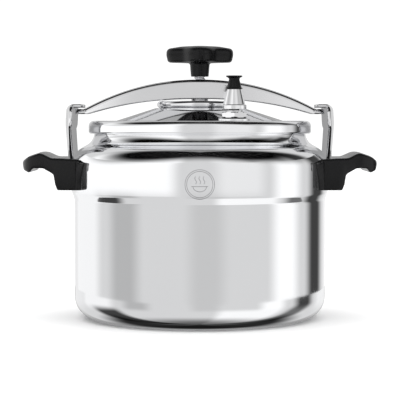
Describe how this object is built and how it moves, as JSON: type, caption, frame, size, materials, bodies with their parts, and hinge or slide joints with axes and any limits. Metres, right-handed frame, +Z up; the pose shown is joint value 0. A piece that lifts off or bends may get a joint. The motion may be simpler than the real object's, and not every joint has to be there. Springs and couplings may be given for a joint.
{
  "type": "pressure canner",
  "caption": "Polished aluminium bow-clamp pressure canner: round pot, lid held by a screw-tightened bow in hook brackets, weighted steam valve, black moulded handles and knob.",
  "frame": {"origin": "centre of the pot's base, on the hob", "axes": "+Z up out of the pot; +X along the bow towards the right-hand handle; -Y is the side with the weighted valve"},
  "size_m": [0.3658, 0.265, 0.2816],
  "materials": {
    "polished_aluminium": "mirror polished",
    "satin_aluminium": "satin",
    "bright_steel": "bright polished stainless steel",
    "plated_steel": "zinc plated",
    "chromed_brass": "polished chrome plate",
    "brass": "turned",
    "black_bakelite": "moulded, semi-gloss",
    "grey_rubber": "matt silicone rubber",
    "fibre": "pressed fibre"
  },
  "bodies": {
    "pot": {"pot_shell": "polished_aluminium", "hook_bracket_left": "bright_steel", "hook_bracket_right": "bright_steel", "bracket_rivets": "polished_aluminium", "handle_left": "black_bakelite", "handle_right": "black_bakelite", "handle_screws": "plated_steel"},
    "rack": {"canning_rack": "satin_aluminium"},
    "lid": {"lid_shell": "polished_aluminium", "gasket": "grey_rubber", "centre_dish": "polished_aluminium", "dish_rivets": "polished_aluminium", "vent_stem": "chromed_brass", "vent_washer": "fibre", "vent_nut": "plated_steel", "safety_valve_body": "chromed_brass", "safety_cap": "chromed_brass", "safety_washer": "fibre", "safety_nut": "plated_steel", "safety_spring": "plated_steel"},
    "safety_plunger": {"safety_pin": "plated_steel"},
    "valve_carrier": {"valve_needle": "chromed_brass"},
    "weight": {"valve_weight": "chromed_brass", "valve_cap": "black_bakelite"},
    "bow": {"bow_channel": "bright_steel", "bow_nut": "bright_steel"},
    "foot": {"pressure_foot": "plated_steel", "foot_clip": "plated_steel"},
    "screw": {"clamp_screw": "plated_steel", "knob_insert": "brass", "knob": "black_bakelite"}
  },
  "joints": [
    {"name": "lid_lift", "type": "slide", "parent": "pot", "child": "lid", "axis": [0, 0, 1], "range_m": [0, 0.12]},
    {"name": "rack_lift", "type": "slide", "parent": "pot", "child": "rack", "axis": [0, 0, 1], "range_m": [0, 0.12]},
    {"name": "bow_turn", "type": "hinge", "parent": "lid", "child": "bow", "pos_m": [0, 0, 0.24], "axis": [0, 0, 1], "range_deg": [-42, 90]},
    {"name": "knob_turn", "type": "hinge", "parent": "foot", "child": "screw", "pos_m": [0, 0, 0.26], "axis": [0, 0, 1], "range_deg": [0, 720]},
    {"name": "screw_rise", "type": "slide", "parent": "bow", "child": "foot", "axis": [0, 0, 1], "range_m": [0, 0.00601]},
    {"name": "valve_lift", "type": "slide", "parent": "lid", "child": "valve_carrier", "axis": [0, 0, 1], "range_m": [0, 0.03]},
    {"name": "valve_spin", "type": "hinge", "parent": "valve_carrier", "child": "weight", "pos_m": [0.03407, -0.07798, 0.225], "axis": [0, 0, 1], "continuous": true},
    {"name": "safety_lift", "type": "slide", "parent": "lid", "child": "safety_plunger", "axis": [0, 0, 1], "range_m": [0, 0.003], "stiffness_N_per_m": 400, "springref_m": -0.003, "deforming": ["safety_spring"]}
  ],
  "couplings": [
    {"joint": "screw_rise", "follows": "knob_turn", "m_per_rad": 0.00047746}
  ]
}
